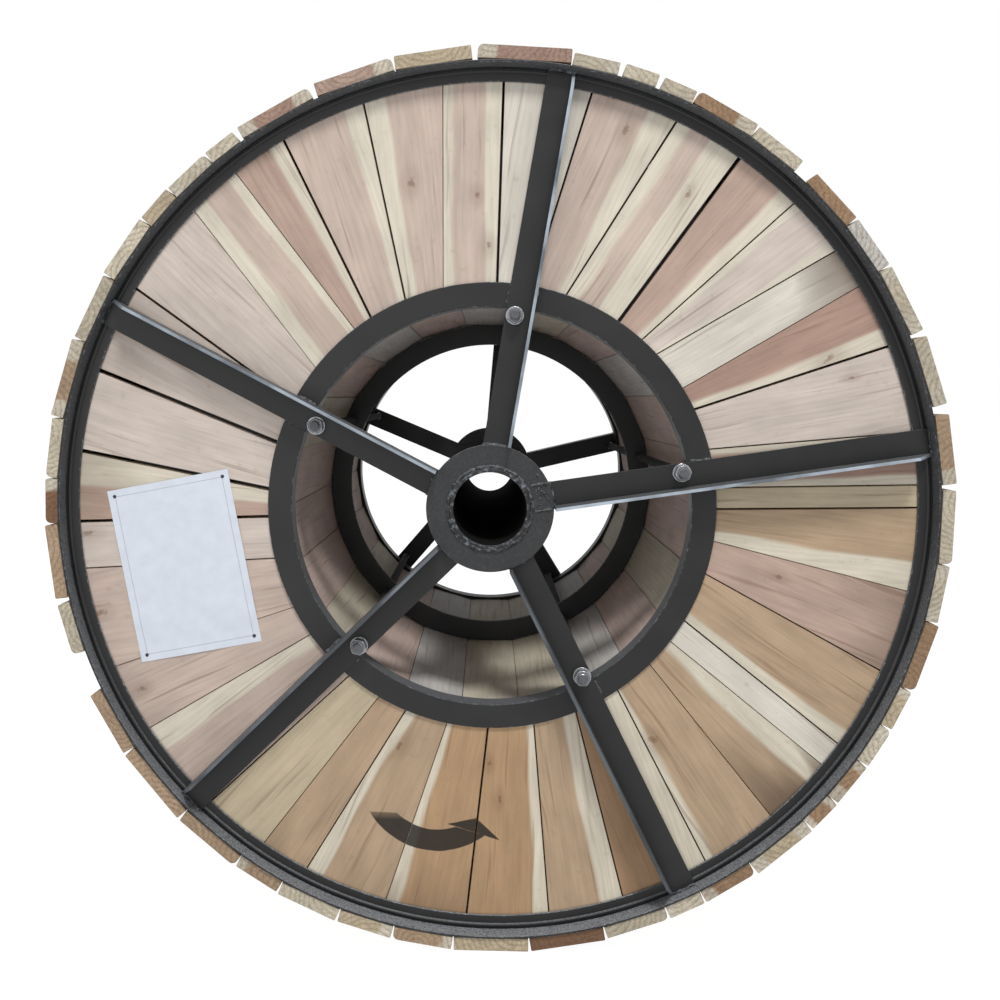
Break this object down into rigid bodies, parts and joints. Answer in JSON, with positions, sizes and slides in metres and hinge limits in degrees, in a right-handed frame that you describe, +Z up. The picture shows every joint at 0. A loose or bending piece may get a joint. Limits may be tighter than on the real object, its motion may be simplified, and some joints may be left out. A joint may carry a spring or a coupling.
{
  "type": "fibre optic cable reel",
  "caption": "Upright cable drum of black steel angle and softwood planks, with wound fibre optic cable closed in by lagging boards, turning on an arbor bore.",
  "frame": {"origin": "middle of the arbor tube's axis, halfway between the flanges", "axes": "+Z up, the arbor's axis along Y, the front flange faces -Y"},
  "size_m": [1.4912, 0.966, 1.4909],
  "materials": {
    "painted_steel": "satin black paint",
    "zinc_steel": "bright zinc plate",
    "strap_steel": "rolled steel strip",
    "flange_wood": "sawn softwood",
    "barrel_wood": "rough sawn softwood",
    "lagging_wood": "rough sawn softwood",
    "cable_jacket": "black polyethylene",
    "paper": "plain paper"
  },
  "bodies": {
    "root": {"front_rim": "painted_steel", "rear_rim": "painted_steel", "front_inner_ring": "painted_steel", "rear_inner_ring": "painted_steel", "front_flange_planks": "flange_wood", "rear_flange_planks": "flange_wood", "front_spoke_1": "painted_steel", "front_spoke_2": "painted_steel", "front_spoke_3": "painted_steel", "front_spoke_4": "painted_steel", "front_spoke_5": "painted_steel", "rear_spoke_1": "painted_steel", "rear_spoke_2": "painted_steel", "rear_spoke_3": "painted_steel", "rear_spoke_4": "painted_steel", "rear_spoke_5": "painted_steel", "front_hub_plate": "painted_steel", "rear_hub_plate": "painted_steel", "arbor_tube": "painted_steel", "barrel_staves": "barrel_wood", "barrel_hoop": "painted_steel", "tie_rods": "zinc_steel", "tie_rod_washers": "zinc_steel", "tie_rod_nuts": "zinc_steel", "cable_winding": "cable_jacket", "lagging_boards": "lagging_wood", "strap_1": "strap_steel", "strap_2": "strap_steel", "paper_sheet": "paper"}
  },
  "joints": []
}
